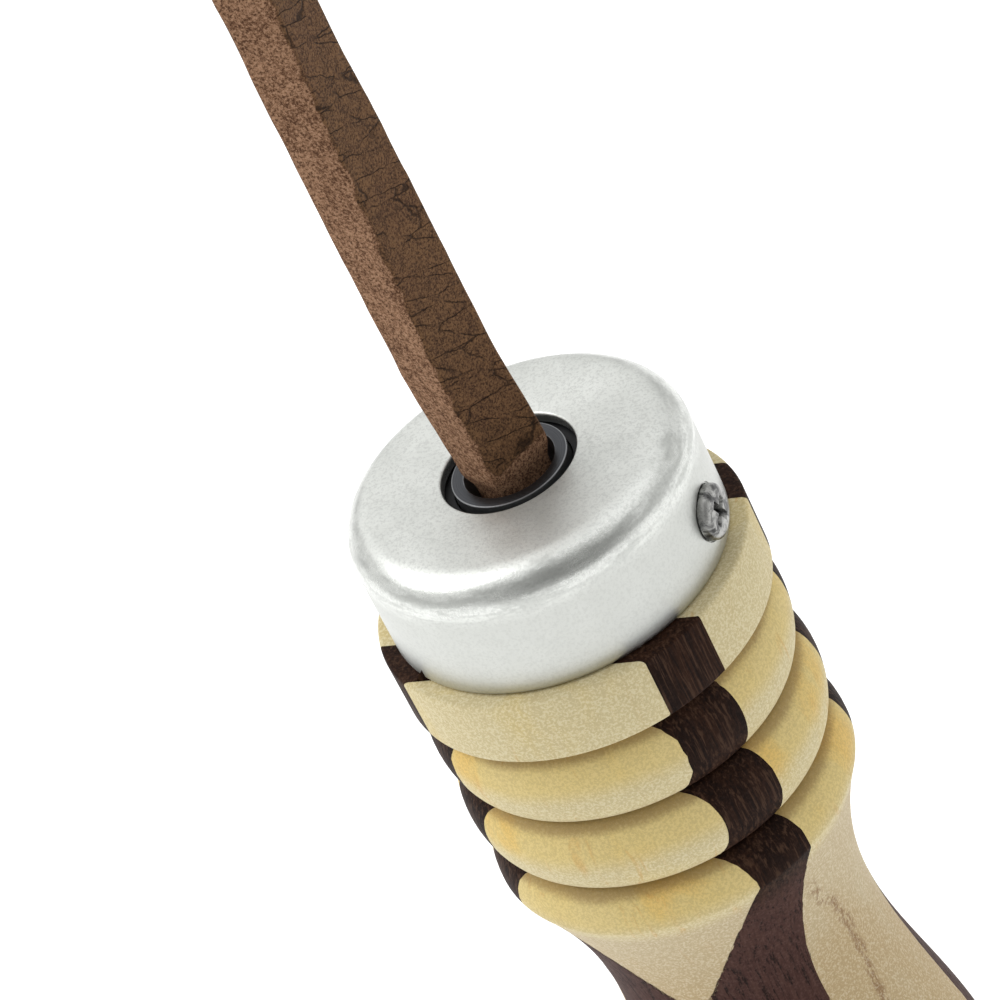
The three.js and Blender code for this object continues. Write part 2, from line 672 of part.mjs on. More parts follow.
// Rivets from front to back: a domed head, a shank, and an end peened over a burr.
function rivets() {
  const front = SKIVE_FACE - FLAP_THICKNESS - FIT / 2;
  const burrFront = STRAP_THICKNESS / 2 + FIT / 2;
  const burrBack = burrFront + BURR_THICKNESS;
  const peened = RIVET_RADIUS + 0.7;
  const rivet = [
    [0, front - RIVET_HEAD_HEIGHT],
    [RIVET_HEAD_RADIUS * 0.6, front - RIVET_HEAD_HEIGHT * 0.85],
    [RIVET_HEAD_RADIUS, front - RIVET_HEAD_HEIGHT * 0.3],
    [RIVET_HEAD_RADIUS, front],
    [RIVET_RADIUS, front],
    [RIVET_RADIUS, burrBack + FIT / 2],
    [peened, burrBack + FIT / 2],
    [peened * 0.6, burrBack + 0.6],
    [0, burrBack + 0.75],
  ];
  const burr = closed([
    [RIVET_RADIUS + CUT_GAP / 2, burrFront],
    [RIVET_HEAD_RADIUS, burrFront],
    [RIVET_HEAD_RADIUS - EDGE_BREAK, burrBack],
    [RIVET_RADIUS + CUT_GAP / 2, burrBack],
  ]);
  // Turned about Z, then laid along Y.
  const lay = (profile, x, z) => turned(profile, 12).rotateX(-Math.PI / 2).translate(x, 0, z);
  return RIVET_PLACES.flatMap(([x, z], i) => [
    mesh(`rivet_${i + 1}`, lay(rivet, x, z), COPPER),
    mesh(`rivet_burr_${i + 1}`, lay(burr, x, z), COPPER),
  ]);
}

// ---- Assembly ----

const handle = new THREE.Group();
handle.name = "handle";
handle.add(...boards(), bearingCap(), ...capScrews(), outerRing(), ...shields());

const ballSet = new THREE.Group();
ballSet.name = "cage";
ballSet.add(ballCage(), ...balls());

const shaft = new THREE.Group();
shaft.name = "shaft";
shaft.add(innerRing(), ...strapParts());

const head = new THREE.Group();
head.name = "head";
head.add(strapTip(), flap(), ...rivets());

const swatter = new THREE.Group();
swatter.name = "fly_swatter";
swatter.add(handle, ballSet, shaft, head);

export default swatter;
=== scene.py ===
"""Looks of the leather fly swatter, built round its fixed frame. Metres, +Z along the handle."""

import json
import math

import bpy
from mathutils import Matrix, Vector, noise

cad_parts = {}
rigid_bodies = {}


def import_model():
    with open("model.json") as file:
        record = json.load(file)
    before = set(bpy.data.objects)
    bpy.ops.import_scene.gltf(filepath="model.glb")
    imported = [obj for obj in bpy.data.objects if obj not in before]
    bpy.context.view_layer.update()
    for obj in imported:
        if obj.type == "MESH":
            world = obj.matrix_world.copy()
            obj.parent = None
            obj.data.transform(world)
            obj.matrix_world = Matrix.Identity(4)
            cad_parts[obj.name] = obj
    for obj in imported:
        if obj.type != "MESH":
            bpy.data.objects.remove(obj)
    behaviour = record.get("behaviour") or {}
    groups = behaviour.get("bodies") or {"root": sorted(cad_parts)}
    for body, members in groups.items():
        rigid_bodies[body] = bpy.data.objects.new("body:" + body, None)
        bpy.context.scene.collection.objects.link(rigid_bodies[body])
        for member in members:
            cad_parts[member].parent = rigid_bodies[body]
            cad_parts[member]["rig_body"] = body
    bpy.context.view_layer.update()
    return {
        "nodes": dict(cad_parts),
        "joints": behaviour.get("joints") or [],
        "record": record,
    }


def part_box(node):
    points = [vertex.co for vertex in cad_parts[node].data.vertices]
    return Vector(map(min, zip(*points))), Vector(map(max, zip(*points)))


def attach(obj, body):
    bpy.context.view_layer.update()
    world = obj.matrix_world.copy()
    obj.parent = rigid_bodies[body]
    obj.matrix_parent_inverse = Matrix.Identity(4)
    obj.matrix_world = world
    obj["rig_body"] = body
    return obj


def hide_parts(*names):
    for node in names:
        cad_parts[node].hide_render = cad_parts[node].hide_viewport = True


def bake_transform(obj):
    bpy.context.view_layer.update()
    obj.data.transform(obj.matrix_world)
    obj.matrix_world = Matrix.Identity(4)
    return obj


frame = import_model()

MM = 0.001

# ---- Places that the frame gives ----
CAP_LOW, CAP_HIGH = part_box("bearing_cap")
CAP_TOP = CAP_HIGH.z
SHOULDER = CAP_LOW.z
CAP_RADIUS = CAP_HIGH.x
GLUE_LINES = [
    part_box("front_dark_board")[0].y,
    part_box("centre_board")[0].y,
    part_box("centre_board")[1].y,
    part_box("back_board")[0].y,
]
WAIST_RADIUS = -GLUE_LINES[0] - 0.1 * MM
TENON_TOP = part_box("centre_board")[1].z
BEARING_LOW, BEARING_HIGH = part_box("bearing_outer_ring")
INNER_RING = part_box("bearing_inner_ring")
BALL_MIDDLE = (BEARING_LOW.z + BEARING_HIGH.z) / 2
STRAP_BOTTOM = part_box("leather_strap")[0].z
FLEX = next(j for j in frame["joints"] if j["name"] == "head_flex")["pos_m"][2]
TIP_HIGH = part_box("strap_tip")[1]
FLAP_LOW, FLAP_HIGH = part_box("leather_flap")
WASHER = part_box("strap_washer")

# ---- Turned wood ----
COLLAR_RADIUS = CAP_RADIUS + 1.8 * MM
COLLAR_HEIGHT = 8 * MM
COLLAR_GROOVE = 0.8 * MM
GROOVE_RADIUS = COLLAR_RADIUS - 2.45 * MM
BEAD_PITCH = 10.1 * MM
BEAD_CROWNS = [COLLAR_RADIUS - cut * MM for cut in (0.3, 0, -0.1)]
LAST_BEAD_EDGE = 1.2 * MM
KNOB = (COLLAR_RADIUS - 1.3 * MM, 14 * MM)
NECK = (COLLAR_RADIUS - 4.2 * MM, 34 * MM)
BELLY = (COLLAR_RADIUS + 0.2 * MM, SHOULDER - 93 * MM)
WAIST = (WAIST_RADIUS, SHOULDER - 55.6 * MM)
BUTT_FACE_RADIUS = 10 * MM
TENON_RADIUS = CAP_RADIUS - 2.6 * MM
BORE_RADIUS = WASHER[1].x + 0.9 * MM
FIRST_GROOVE = SHOULDER - COLLAR_HEIGHT - COLLAR_GROOVE
LAST_CROWN = FIRST_GROOVE - 2.5 * BEAD_PITCH
WOOD_SIDES = 180

# ---- Strap ----
STRAP_WIDTH = 8.1 * MM
STRAP_THICKNESS = 5.9 * MM
STRAP_CORNER = 0.55 * MM
TRIM_TOP = CAP_TOP + 1.2 * MM
TAIL_SHARE = 4.2 / math.hypot(STRAP_WIDTH / MM / 2, STRAP_THICKNESS / MM / 2)
TWIST_FROM, TWIST_TO = math.radians(-32), math.radians(90)
TIP_HALF = TIP_HIGH.x
TIP_SKIVED = 3 * MM
STRAP_STRAY = Vector((-0.72, -0.3, 0))  # millimetres, at the middle of the limp stretch
PIN_RADIUS = 1.25 * MM
PIN_HOLE_RADIUS = 1.4 * MM

# ---- Bearing and screws ----
BEARING_BORE_RADIUS = 5 * MM
BALL_RADIUS, RACE_RADIUS = 1.19, 1.27  # millimetres
SCREW_HOLE_RADIUS = 1.75 * MM
SPOT_FACE_RADIUS = 3.15 * MM
RECESS_TURN = 28  # degrees that the cross recess is turned from upright

# ---- Flap and rivets ----
FLAP_NECK_WIDTH, FLAP_END_WIDTH = 74, 92  # millimetres
FLAP_BOW = 2.4 * MM
AIR_HOLE_RADIUS = 3 * MM
RIVET_HOLE_RADIUS = 1.6 * MM
RIVET_RADIUS = 1.5 * MM
PUNCH_REACH = 0.02

BODIES = frame["record"]["behaviour"]["bodies"]
BODY_OF = {node: body for body, nodes in BODIES.items() for node in nodes}


# ---- Shader shop ----
class Channel:
    """A shader socket that sums and products can be written with."""

    def __init__(self, finish, socket):
        self.finish, self.socket = finish, socket

    def math(self, operation, *values):
        return self.finish.node("ShaderNodeMath", {"operation": operation}, values)

    def __add__(self, other):
        return self.math("ADD", self, other)

    def __sub__(self, other):
        return self.math("SUBTRACT", self, other)

    def __rsub__(self, other):
        return self.math("SUBTRACT", other, self)

    def __mul__(self, other):
        return self.math("MULTIPLY", self, other)

    def __truediv__(self, other):
        return self.math("DIVIDE", self, other)

    __radd__ = __add__
    __rmul__ = __mul__

    def absolute(self):
        return self.math("ABSOLUTE", self)

    def root(self):
        return self.math("SQRT", self)

    def fraction(self):
        return self.math("FRACT", self)

    def between(self, low, high):
        """0 at low and before it, 1 at high and past it, smooth between them."""
        values = {"Value": self, "From Min": low, "From Max": high}
        return self.finish.node("ShaderNodeMapRange", {"interpolation_type": "SMOOTHSTEP"}, values)


class Finish:
    """One material, made node by node."""

    def __init__(self, name, tree=None):
        if tree is None:
            self.material = bpy.data.materials.new(name)
            self.material.use_nodes = True
            tree = self.material.node_tree
        self.tree = tree
        self.tree.nodes.clear()

    def node(self, kind, settings=None, values=None, output=0):
        made = self.tree.nodes.new(kind)
        for key, value in (settings or {}).items():
            setattr(made, key, value)
        pairs = values.items() if isinstance(values, dict) else enumerate(values or ())
        for key, value in pairs:
            if isinstance(value, Channel):
                self.tree.links.new(value.socket, made.inputs[key])
            else:
                made.inputs[key].default_value = value
        return Channel(self, made.outputs[output]) if made.outputs else None

    def place(self, attribute=None):
        """Object coordinates in millimetres, or an attribute that holds such a place."""
        if attribute:
            return self.node("ShaderNodeAttribute", {"attribute_name": attribute}, output=1)
        metres = self.node("ShaderNodeTexCoord", output=3)
        return self.node(
            "ShaderNodeVectorMath", {"operation": "SCALE"}, {"Vector": metres, "Scale": 1000}
        )

    def stretch(self, place, scale, shift=(0, 0, 0)):
        return self.node("ShaderNodeMapping", values={"Vector": place, "Scale": scale, "Location": shift})

    def axis(self, place, index):
        return self.node("ShaderNodeSeparateXYZ", values=[place], output=index)

    def noise(self, place, size, detail=2.0, roughness=0.5, distortion=0.0):
        """Noise whose features measure about the given size."""
        values = {"Vector": place, "Scale": 1 / size, "Detail": detail, "Roughness": roughness,
                  "Distortion": distortion}
        return self.node("ShaderNodeTexNoise", values=values)

    def wander(self, place, size, reach):
        """A vector that wanders by up to about the given reach."""
        values = {"Vector": place, "Scale": 1 / size, "Detail": 2.0}
        color = self.node("ShaderNodeTexNoise", values=values, output=1)
        centred = self.node(
            "ShaderNodeVectorMath", {"operation": "SUBTRACT"}, [color, (0.5, 0.5, 0.5)]
        )
        return self.node(
            "ShaderNodeVectorMath", {"operation": "SCALE"}, {"Vector": centred, "Scale": reach}
        )

    def cells(self, place, size, feature="DISTANCE_TO_EDGE"):
        values = {"Vector": place, "Scale": 1 / size}
        return self.node("ShaderNodeTexVoronoi", {"feature": feature}, values)

    def mix(self, share, first, second):
        """The first color where share is 0, and the second where it is 1."""
        first, second = [c if isinstance(c, Channel) else (*c, 1) for c in (first, second)]
        values = {0: share, 6: first, 7: second}
        return self.node("ShaderNodeMix", {"data_type": "RGBA"}, values, output=2)

    def bump(self, height, depth, strength=1.0):
        """Height runs from 0 to 1, and depth is in millimetres."""
        values = {"Height": height, "Distance": depth * MM, "Strength": strength}
        return self.node("ShaderNodeBump", values=values)

    def surface(self, **values):
        """Ends the material in a Principled shader. Names stand with _ for each space."""
        named = {key.replace("_", " "): value for key, value in values.items()}
        shader = self.node("ShaderNodeBsdfPrincipled", values=named)
        self.node("ShaderNodeOutputMaterial", values=[shader])
        return self.material


# ---- Finishes ----
def bead_phase(height):
    """Runs down each bead, from 0 under the groove above it to 1 at the groove below it."""
    run = (FIRST_GROOVE / MM - height) / (BEAD_PITCH / MM)
    return run.fraction()


def light_wood():
    finish = Finish("pale_turned_hardwood")
    place = finish.place()
    x, y, z = (finish.axis(place, index) for index in range(3))
    radius = (x * x + y * y).root()
    grain = finish.noise(finish.stretch(place, (1, 1, 0.07)), 1.1, 4, 0.62, 0.4)
    broad = finish.noise(finish.stretch(place, (1, 1, 0.3), (7, 3, 1)), 8, 3, 0.5, 0.6)
    speck = finish.noise(place, 0.30, 2, 0.75)
    fuzz = finish.noise(place, 0.4, 3, 0.8)
    pale, yellow, orange = (0.635, 0.545, 0.315), (0.675, 0.52, 0.185), (0.75, 0.46, 0.10)
    in_beads = z.between(LAST_CROWN / MM - 1.6, LAST_CROWN / MM + 0.4)
    above_groove = (z - FIRST_GROOVE / MM).between(-0.3, 0.3)
    phase = bead_phase(z)
    lower_half = (phase + (broad - 0.5) * 0.25).between(0.34, 0.66)
    # Painted light: the lit upper half of each bead gets a deeper yellow and orange patches, while the
    # lower half stays pale.
    lit_upper_half = (1 - lower_half) * (1 - above_groove) * in_beads
    color = finish.mix(lit_upper_half * (broad * 0.7 + 0.45), pale, yellow)
    color = finish.mix(broad.between(0.48, 0.72) * 0.45, color, yellow)
    color = finish.mix(lit_upper_half * broad.between(0.5, 0.66) * 0.55, color, orange)
    streak = finish.noise(finish.stretch(place, (1, 1, 0.08), (4, 9, 2)), 3.0, 3, 0.6, 1.2)
    color = finish.mix(streak.between(0.62, 0.72) * 0.55, color, (0.60, 0.33, 0.08))
    color = finish.mix(grain.between(0.5, 0.8) * 0.25, color, (0.54, 0.39, 0.18))
    below = 1 - z.between(LAST_CROWN / MM - 3.5, LAST_CROWN / MM - 0.6)
    color = finish.mix(below * 0.8, color, (0.505, 0.405, 0.265))
    low_cast = (1 - z.between(WAIST[1] / MM + 1, LAST_CROWN / MM - 4)) * broad.between(0.3, 0.55)
    color = finish.mix(low_cast * 0.75, color, (0.455, 0.325, 0.165))
    shade = 1 - (phase + (fuzz - 0.5) * 0.10 + (broad - 0.5) * 0.12).between(0.05, 0.16)
    shade = shade * (1 - above_groove) * z.between(LAST_CROWN / MM, LAST_CROWN / MM + 2)
    color = finish.mix(shade * 0.6, color, (0.20, 0.105, 0.03))
    wander = finish.noise(finish.stretch(place, (0.3, 0.3, 1)), 6, 2, 0.5)
    rise = z - WAIST[1] / MM + 1.6
    line = (y + 3.6 + rise * rise * 0.021 + (wander - 0.5) * 3.5).absolute()
    fleck = finish.noise(finish.stretch(place, (1, 1, 0.5), (1, 5, 8)), 0.7, 3, 0.75)
    knot_line = (1 - line.between(0.25, 1.1)) * fleck.between(0.42, 0.56)
    on_right = x.between(6, 10) * z.between(82, 92) * (1 - z.between(122, 126))
    color = finish.mix(knot_line * on_right * 0.75, color, (0.20, 0.088, 0.028))
    color = finish.mix(speck.between(0.44, 0.58) * 0.28, color, (0.33, 0.26, 0.14))
    # Painted highlight: pale whitish specks, mostly on the lower halves of the beads.
    highlight_specks = (1 - speck.between(0.40, 0.50)) * (1 - lit_upper_half * 0.8) * 0.35
    color = finish.mix(highlight_specks, color, (0.72, 0.67, 0.50))
    height = speck * 0.6 + grain * 0.4
    return finish.surface(
        Base_Color=color,
        Roughness=speck * 0.2 + 0.5,
        Specular_IOR_Level=0.15,
        Normal=finish.bump(height, 0.09, 0.8),
    )


def dark_wood():
    finish = Finish("dark_turned_hardwood")
    place = finish.place()
    z = finish.axis(place, 2)
    pores = finish.noise(finish.stretch(place, (1, 1, 0.06)), 0.42, 3, 0.75, 0.3)
    speck = finish.noise(place, 0.36, 2, 0.75)
    broad = finish.noise(finish.stretch(place, (1, 1, 0.12), (3, 1, 4)), 3.2, 3, 0.55, 0.5)
    color = finish.mix(broad.between(0.3, 0.72), (0.0095, 0.0036, 0.0022), (0.031, 0.0125, 0.0065))
    color = finish.mix((1 - pores.between(0.36, 0.50)) * 0.6, color, (0.080, 0.043, 0.026))
    # Painted reflection: a purple sheen on the dark wood from just below the last bead downward.
    below = 1 - z.between(LAST_CROWN / MM - 6, LAST_CROWN / MM - 0.5)
    color = finish.mix(below * 0.7, color, (0.070, 0.031, 0.026))
    color = finish.mix(pores.between(0.52, 0.64) * 0.85, color, (0.008, 0.004, 0.003))
    # Lighter specks all over, stronger inside the painted purple sheen.
    color = finish.mix(speck.between(0.45, 0.68) * (below * 0.22 + 0.06), color, (0.15, 0.085, 0.07))
    return finish.surface(
        Base_Color=color,
        Roughness=pores * 0.2 + 0.5,
        Specular_IOR_Level=0.06,
        Normal=finish.bump(1 - pores.between(0.5, 0.75), 0.05, 0.6),
    )


def satin_aluminium():
    finish = Finish("satin_aluminium")
    place = finish.place()
    z = finish.axis(place, 2)
    frost = finish.noise(place, 0.34, 3, 0.75)
    cloud = finish.noise(place, 4.5, 3, 0.55)
    circling_streaks = finish.noise(finish.stretch(place, (0.3, 0.3, 1.4)), 1.5, 3, 0.6)
    on_top = z.between(CAP_TOP / MM - 0.5, CAP_TOP / MM - 0.05)
    on_side = 1 - z.between(CAP_TOP / MM - 5.5, CAP_TOP / MM - 3.2)
    color = finish.mix(cloud.between(0.3, 0.75), (0.68, 0.695, 0.665), (0.75, 0.765, 0.735))
    color = finish.mix(frost.between(0.46, 0.62) * 0.5, color, (0.50, 0.51, 0.49))
    # Painted shade: the side below the shoulder is painted darker than the top.
    color = finish.mix(on_side * 0.6, color, (0.47, 0.48, 0.455))
    # Painted reflection: darker mottled streaks round the shoulder rounding.
    reflection_mottle = (1 - on_top) * (1 - on_side) * circling_streaks.between(0.42, 0.62)
    color = finish.mix(reflection_mottle * 0.5, color, (0.36, 0.37, 0.35))
    return finish.surface(
        Base_Color=color,
        Metallic=0.95,
        Roughness=on_top * 0.2 + on_side * 0.1 + cloud * 0.06 + frost * 0.12 + circling_streaks * 0.08 + 0.16,
        Normal=finish.bump(frost * 0.7 + circling_streaks * 0.3, 0.04, 0.7),
    )


def worn_steel(name, light, dark, size, rough):
    """Plated steel with dark, uneven patches."""
    finish = Finish(name)
    place = finish.place()
    patches = finish.noise(place, size, 4, 0.65, 0.5)
    fine = finish.noise(place, size / 6, 2, 0.6)
    color = finish.mix(patches.between(0.36, 0.62), dark, light)
    return finish.surface(
        Base_Color=color,
        Metallic=1.0,
        Roughness=rough + fine * 0.2,
        Normal=finish.bump(patches * 0.6 + fine * 0.4, 0.06, 0.7),
    )


def ground_steel(name, color, rough, glint_rims=()):
    """Steel with fine turning marks round the axis, and a painted highlight along each given rim."""
    finish = Finish(name)
    place = finish.place()
    x, y = finish.axis(place, 0), finish.axis(place, 1)
    radius = (x * x + y * y).root()
    rings = finish.node("ShaderNodeTexNoise", {"noise_dimensions": "1D"}, {"W": radius, "Scale": 9.0})
    grit = finish.noise(place, 0.3, 2, 0.7)
    lighter = tuple(min(1.0, channel * 1.7) for channel in color)
    base = finish.mix(rings.between(0.3, 0.7) * 0.5 + grit * 0.5, color, lighter)
    for rim in glint_rims:
        # Painted highlight: a brighter line along each given rim.
        rim_glint = 1 - (radius - rim / MM).absolute().between(0.03, 0.13)
        base = finish.mix(rim_glint * 0.45, base, (0.50, 0.51, 0.52))
    return finish.surface(
        Base_Color=base,
        Metallic=1.0,
        Roughness=grit * 0.2 + rough,
        Normal=finish.bump(rings * 0.4 + grit * 0.6, 0.02, 0.6),
    )


def black_shield():
    finish = Finish("black_shield")
    grit = finish.noise(finish.place(), 0.3, 3, 0.6)
    return finish.surface(
        Base_Color=finish.mix(grit, (0.006, 0.006, 0.007), (0.02, 0.02, 0.022)),
        Metallic=0.3,
        Roughness=grit * 0.2 + 0.5,
    )


CRACK = (0.012, 0.006, 0.004)


def leather(name, attribute):
    """Thick leather: a dark, creased grain face, and paler, fibrous cut edges and flesh side."""
    finish = Finish(name)
    place = finish.place(attribute)
    cut = finish.node("ShaderNodeAttribute", {"attribute_name": "cut_edge"}, output=2)
    ragged = finish.noise(place, 2.4, 4, 0.6)
    cut = (cut + (ragged - 0.5) * 1.1).between(0.44, 0.56)
    speck = finish.noise(place, 0.24, 3, 0.8)
    mottle = finish.noise(place, 1.6, 3, 0.6)
    broad = finish.noise(place, 6.5, 2, 0.5)
    crease = crackle(finish, place, 2.3, (0.2, 0.22, 1.0), (0, 0, 0))
    grain = finish.mix(mottle.between(0.28, 0.74), (0.088, 0.045, 0.024), (0.155, 0.081, 0.039))
    grain = finish.mix(broad.between(0.4, 0.7) * 0.3, grain, (0.095, 0.044, 0.026))
    grain = finish.mix(speck.between(0.5, 0.60) * 0.65, grain, (0.225, 0.122, 0.058))
    grain = finish.mix((1 - speck.between(0.39, 0.49)) * 0.8, grain, (0.028, 0.014, 0.007))
    grain = finish.mix(crease * 0.75, grain, CRACK)
    grain = finish.mix(crackle(finish, place, 1.3, (0.3, 0.28, 1.0), (5, 8, 3)) * 0.4, grain, CRACK)
    edge = finish.mix(mottle.between(0.3, 0.7), (0.190, 0.099, 0.055), (0.310, 0.174, 0.102))
    pits = finish.noise(place, 0.26, 3, 0.8)
    edge = finish.mix(pits.between(0.51, 0.58) * 0.85, edge, (0.056, 0.024, 0.013))
    edge = finish.mix((1 - pits.between(0.40, 0.48)) * 0.7, edge, (0.44, 0.265, 0.165))
    relief = speck * 0.4 + mottle * 0.1 + (1 - crease) * 0.5
    fibres = pits * 0.7 + speck * 0.3
    height = relief * (1 - cut) + (1 - fibres) * cut
    return finish.surface(
        Base_Color=finish.mix(cut, grain, edge),
        Roughness=0.62 + cut * 0.22 + speck * 0.1,
        Specular_IOR_Level=0.08,
        Normal=finish.bump(height, 0.24, 1.0),
    )


def crackle(finish, place, size, stretch, shift):
    """Short, wavy cracks that run mostly across the leather."""
    aslant = finish.node(
        "ShaderNodeMapping", values={"Vector": place, "Rotation": (math.radians(28), 0, 0)}
    )
    wandering = finish.node(
        "ShaderNodeVectorMath",
        {"operation": "ADD"},
        [finish.stretch(aslant, stretch, shift), finish.wander(place, 2.0, 0.55)],
    )
    lines = 1 - finish.cells(wandering, size).between(0.003, 0.03)
    return lines * finish.noise(place, 3.2, 2, 0.5).between(0.38, 0.54)


def hammered_copper():
    finish = Finish("aged_copper")
    place = finish.place()
    dents = finish.cells(place, 1.1, "F1")
    age = finish.noise(place, 1.4, 3, 0.6)
    color = finish.mix(age.between(0.35, 0.7), (0.66, 0.30, 0.16), (0.30, 0.12, 0.07))
    return finish.surface(
        Base_Color=color,
        Metallic=1.0,
        Roughness=age * 0.2 + 0.22,
        Normal=finish.bump(dents, 0.12, 0.7),
    )


# ---- Modelling ----
def deselect():
    if bpy.context.object and bpy.context.object.mode != "OBJECT":
        bpy.ops.object.mode_set(mode="OBJECT")
    bpy.ops.object.select_all(action="DESELECT")


def pick(piece):
    deselect()
    piece.select_set(True)
    bpy.context.view_layer.objects.active = piece


def edit(piece):
    """Opens a piece in edit mode with everything selected."""
    pick(piece)
    bpy.ops.object.mode_set(mode="EDIT")
    bpy.ops.mesh.select_all(action="SELECT")


def close_edit(weld=0.5e-6):
    bpy.ops.mesh.select_all(action="SELECT")
    bpy.ops.mesh.remove_doubles(threshold=weld)
    bpy.ops.mesh.normals_make_consistent(inside=False)
    bpy.ops.object.mode_set(mode="OBJECT")


def turn(name, profile, sides):
    """A ring extruded up and along a profile of (radius, height) points, as on a lathe.

    A profile that comes back to its first point makes a closed ring. Any other has both ends filled.
    """
    deselect()
    radius, height = profile[0]
    returns = math.dist(profile[0], profile[-1]) < 1e-9
    fill = "NOTHING" if returns else "NGON"
    bpy.ops.mesh.primitive_circle_add(
        vertices=sides, radius=radius, fill_type=fill, location=(0, 0, height)
    )
    piece = bpy.context.object
    piece.name = name
    bpy.ops.object.transform_apply()
    edit(piece)
    for (radius, height), (next_radius, next_height) in zip(profile, profile[1:]):
        bpy.ops.mesh.extrude_region_move(
            MESH_OT_extrude_region={"use_dissolve_ortho_edges": False},
            TRANSFORM_OT_translate={"value": (0, 0, next_height - height)},
        )
        share = next_radius / radius
        bpy.ops.transform.resize(value=(share, share, 1), center_override=(0, 0, next_height))
    close_edit()
    return piece


def move(piece, matrix):
    piece.data.transform(matrix)
    if matrix.determinant() < 0:
        piece.data.flip_normals()
    return piece


def copy_of(piece, name, matrix=Matrix.Identity(4)):
    twin = bpy.data.objects.new(name, piece.data.copy())
    bpy.context.scene.collection.objects.link(twin)
    return move(twin, matrix)


def remove(piece):
    mesh = piece.data
    bpy.data.objects.remove(piece)
    bpy.data.meshes.remove(mesh)


def cut_with(piece, cutter):
    pick(piece)
    cut = piece.modifiers.new("cut", "BOOLEAN")
    cut.operation, cut.solver, cut.object = "DIFFERENCE", "EXACT", cutter
    bpy.ops.object.modifier_apply(modifier=cut.name)
    remove(cutter)


def soften(piece, width, segments=2, angle=35):
    pick(piece)
    bevel = piece.modifiers.new("soften", "BEVEL")
    bevel.width, bevel.segments = width, segments
    bevel.limit_method, bevel.angle_limit = "ANGLE", math.radians(angle)
    bpy.ops.object.modifier_apply(modifier=bevel.name)


def rod(name, radius, start, end, sides=48):
    """A cylinder from one point to another."""
    deselect()
    span = Vector(end) - Vector(start)
    bpy.ops.mesh.primitive_cylinder_add(vertices=sides, radius=radius, depth=span.length)
    piece = bpy.context.object
    piece.name = name
    turn_to = span.to_track_quat("Z", "Y").to_matrix().to_4x4()
    return move(piece, Matrix.Translation((Vector(start) + Vector(end)) / 2) @ turn_to)


def done(piece, material, *nodes, angle=38):
    """Gives a finished piece its material, and lets it stand for its nodes."""
    piece.data.materials.clear()
    piece.data.materials.append(material)
    pick(piece)
    bpy.ops.object.shade_smooth_by_angle(angle=math.radians(angle))
    if "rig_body" not in piece:
        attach(piece, BODY_OF[nodes[0]])
    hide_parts(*nodes)
    return piece


def arc(centre, radii, start, end, steps):
    """Points of an elliptical arc, with angles in degrees."""
    angles = [math.radians(start + (end - start) * i / steps) for i in range(steps + 1)]
    return [
        (centre[0] + radii[0] * math.cos(a), centre[1] + radii[1] * math.sin(a)) for a in angles
    ]


def sweep(start, end, steps):
    """Points of a smooth sweep between two level places of a turned profile."""
    points = []
    for i in range(1, steps + 1):
        eased = (1 - math.cos(math.pi * i / steps)) / 2
        points.append((start[0] + (end[0] - start[0]) * eased, start[1] + (end[1] - start[1]) * i / steps))
    return points


def hollow(start, end, steps):
    """Points of a hollow that leaves one place level and grows steeper up to another."""
    shares = [i / steps for i in range(1, steps + 1)]
    return [
        (start[0] + (end[0] - start[0]) * share**2, start[1] + (end[1] - start[1]) * share)
        for share in shares
    ]


# ---- Handle ----
def handle_profile():
    def bead(index, start):
        middle = FIRST_GROOVE - (index + 0.5) * BEAD_PITCH
        rise = BEAD_CROWNS[index] - GROOVE_RADIUS
        steps = round((90 - start) / 9)
        return arc((GROOVE_RADIUS, middle), (rise, BEAD_PITCH / 2), start, 90, steps)[1:]

    collar_bottom = SHOULDER - COLLAR_HEIGHT
    edge = 0.45 * MM
    last_edge = arc(
        (BEAD_CROWNS[2] - LAST_BEAD_EDGE, LAST_CROWN), (LAST_BEAD_EDGE, LAST_BEAD_EDGE), -27, 0, 5
    )
    return [
        *arc((BUTT_FACE_RADIUS, KNOB[1]), (KNOB[0] - BUTT_FACE_RADIUS, KNOB[1]), -90, 0, 12),
        *sweep(KNOB, NECK, 9),
        *sweep(NECK, BELLY, 12),
        *sweep(BELLY, WAIST, 26),
        *hollow(WAIST, last_edge[0], 34),
        *last_edge[1:],
        *bead(2, 0),
        *bead(1, -90),
        *bead(0, -90),
        *arc((COLLAR_RADIUS - edge, collar_bottom + edge), (edge, edge), -90, 0, 3),
        *arc((COLLAR_RADIUS - edge, SHOULDER - edge), (edge, edge), 0, 90, 3),
        (TENON_RADIUS, SHOULDER),
        (TENON_RADIUS, TENON_TOP),
        (BORE_RADIUS, TENON_TOP),
        (BORE_RADIUS, STRAP_BOTTOM - 1.5 * MM),
    ]


def saw(blank, name, low=None, high=None, above=None, below=None):
    """A copy of the turned blank, cut to what lies between planes across Y or Z."""
    board = copy_of(blank, name)
    edit(board)
    for place, normal, keep_above in (
        (low, (0, 1, 0), True),
        (high, (0, 1, 0), False),
        (above, (0, 0, 1), True),
        (below, (0, 0, 1), False),
    ):
        if place is None:
            continue
        bpy.ops.mesh.select_all(action="SELECT")
        bpy.ops.mesh.bisect(
            plane_co=Vector(normal) * place,
            plane_no=normal,
            use_fill=True,
            clear_inner=keep_above,
            clear_outer=not keep_above,
        )
    close_edit()
    return board


def handle():
    blank = turn("turned_blank", handle_profile(), WOOD_SIDES)
    front, centre_front, centre_back, back = GLUE_LINES
    light, dark = light_wood(), dark_wood()
    waist = WAIST[1]
    for node, material, cuts in (
        ("front_board_upper", light, {"high": front, "above": waist}),
        ("front_board_lower", light, {"high": front, "below": waist}),
        ("front_dark_board", dark, {"low": front, "high": centre_front}),
        ("centre_board", light, {"low": centre_front, "high": centre_back}),
        ("back_dark_board", dark, {"low": centre_back, "high": back}),
        ("back_board", light, {"low": back}),
    ):
        done(saw(blank, f"turned_{node}", **cuts), material, node)
    remove(blank)


